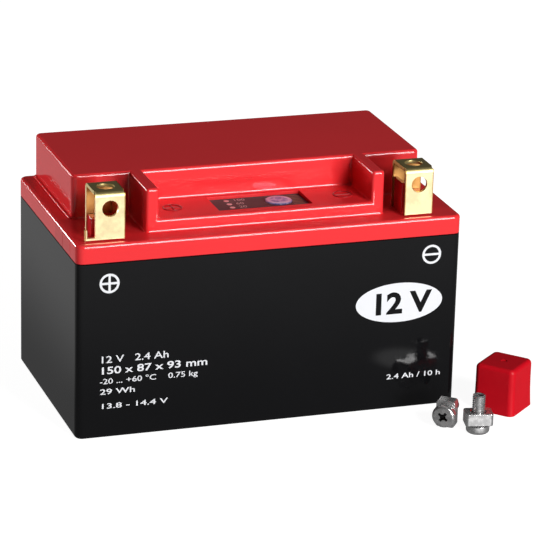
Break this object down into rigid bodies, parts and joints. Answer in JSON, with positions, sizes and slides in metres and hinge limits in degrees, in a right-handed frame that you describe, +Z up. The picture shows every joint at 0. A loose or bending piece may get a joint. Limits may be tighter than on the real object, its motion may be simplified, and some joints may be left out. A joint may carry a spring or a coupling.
{
  "type": "motorcycle battery",
  "caption": "Rectangular starter battery with a case tub, a stepped lid, folded strip terminals, a charge indicator with a test button, and loose cap, screws and nuts.",
  "frame": {"origin": "centre of the case's bottom face", "axes": "+Z up, +X to the right along the case's long front, where the minus terminal is, +Y from the terminal side to the back"},
  "size_m": [0.1785, 0.1213, 0.0946],
  "materials": {
    "case_black": "smooth semi-gloss black moulding",
    "lid_red": "smooth satin red moulding",
    "terminal_gold": "plated, bright satin",
    "seal_rubber": "matt black rubber",
    "label_film": "dark glossy printed film",
    "button_film": "silvery blue glossy dome",
    "lamp_lens": "frosted lens",
    "part_black": "matt black moulding",
    "board_green": "green solder mask",
    "hardware_zinc": "bright zinc plate",
    "wire_jacket": "soft wire jacket",
    "foam_grey": "closed-cell foam",
    "cell_pouch": "laminated foil",
    "link_copper": "bare copper strip",
    "cap_red": "soft matt red vinyl"
  },
  "bodies": {
    "battery": {"case_tub": "case_black", "lid": "lid_red", "positive_terminal": "terminal_gold", "negative_terminal": "terminal_gold", "positive_seal": "seal_rubber", "negative_seal": "seal_rubber", "indicator_label": "label_film", "switch_housing": "part_black", "led_high": "lamp_lens", "led_middle": "lamp_lens", "led_low": "lamp_lens", "circuit_board": "board_green", "board_screw_1": "hardware_zinc", "board_screw_2": "hardware_zinc", "sense_plug": "part_black", "sense_wire_1": "wire_jacket", "sense_wire_2": "wire_jacket", "sense_wire_3": "wire_jacket", "sense_wire_4": "wire_jacket", "sense_wire_5": "wire_jacket", "bottom_pad": "foam_grey", "front_foam": "foam_grey", "back_foam": "foam_grey", "left_foam": "foam_grey", "right_foam": "foam_grey", "cell_1": "cell_pouch", "cell_2": "cell_pouch", "cell_3": "cell_pouch", "cell_4": "cell_pouch", "cell_pad_1": "foam_grey", "cell_pad_2": "foam_grey", "cell_pad_3": "foam_grey", "busbar_1": "link_copper", "busbar_2": "link_copper", "busbar_3": "link_copper", "tab_frame": "part_black", "positive_lead": "link_copper", "negative_lead": "link_copper"},
    "button": {"test_button": "button_film"},
    "cap": {"terminal_cap": "cap_red"},
    "upright_screw": {"upright_screw": "hardware_zinc"},
    "upright_nut": {"upright_nut": "hardware_zinc"},
    "flat_screw": {"flat_screw": "hardware_zinc"},
    "flat_nut": {"flat_nut": "hardware_zinc"}
  },
  "joints": [
    {"name": "button_press", "type": "slide", "parent": "battery", "child": "button", "axis": [0, 0, -1], "range_m": [0, 0.0005], "stiffness_N_per_m": 3000},
    {"name": "cap_lift", "type": "slide", "parent": "battery", "child": "cap", "axis": [0, 0, 1], "range_m": [0, 0.03]},
    {"name": "upright_screw_turn", "type": "hinge", "parent": "battery", "child": "upright_screw", "pos_m": [0.073, -0.0733, 0], "axis": [0, 0, 1], "range_deg": [0, 2521]},
    {"name": "upright_nut_travel", "type": "slide", "parent": "battery", "child": "upright_nut", "axis": [0, 0, 1], "range_m": [0, 0.0056]},
    {"name": "flat_screw_turn", "type": "hinge", "parent": "battery", "child": "flat_screw", "pos_m": [0.064, -0.06417, 0.0053], "axis": [0.6018, 0.7986, 0], "range_deg": [0, 2521]},
    {"name": "flat_nut_travel", "type": "slide", "parent": "battery", "child": "flat_nut", "axis": [0.6018, 0.7986, 0], "range_m": [0, 0.0056]}
  ],
  "couplings": [
    {"joint": "upright_screw_turn", "follows": "upright_nut_travel", "rad_per_m": 7854},
    {"joint": "flat_screw_turn", "follows": "flat_nut_travel", "rad_per_m": 7854}
  ]
}
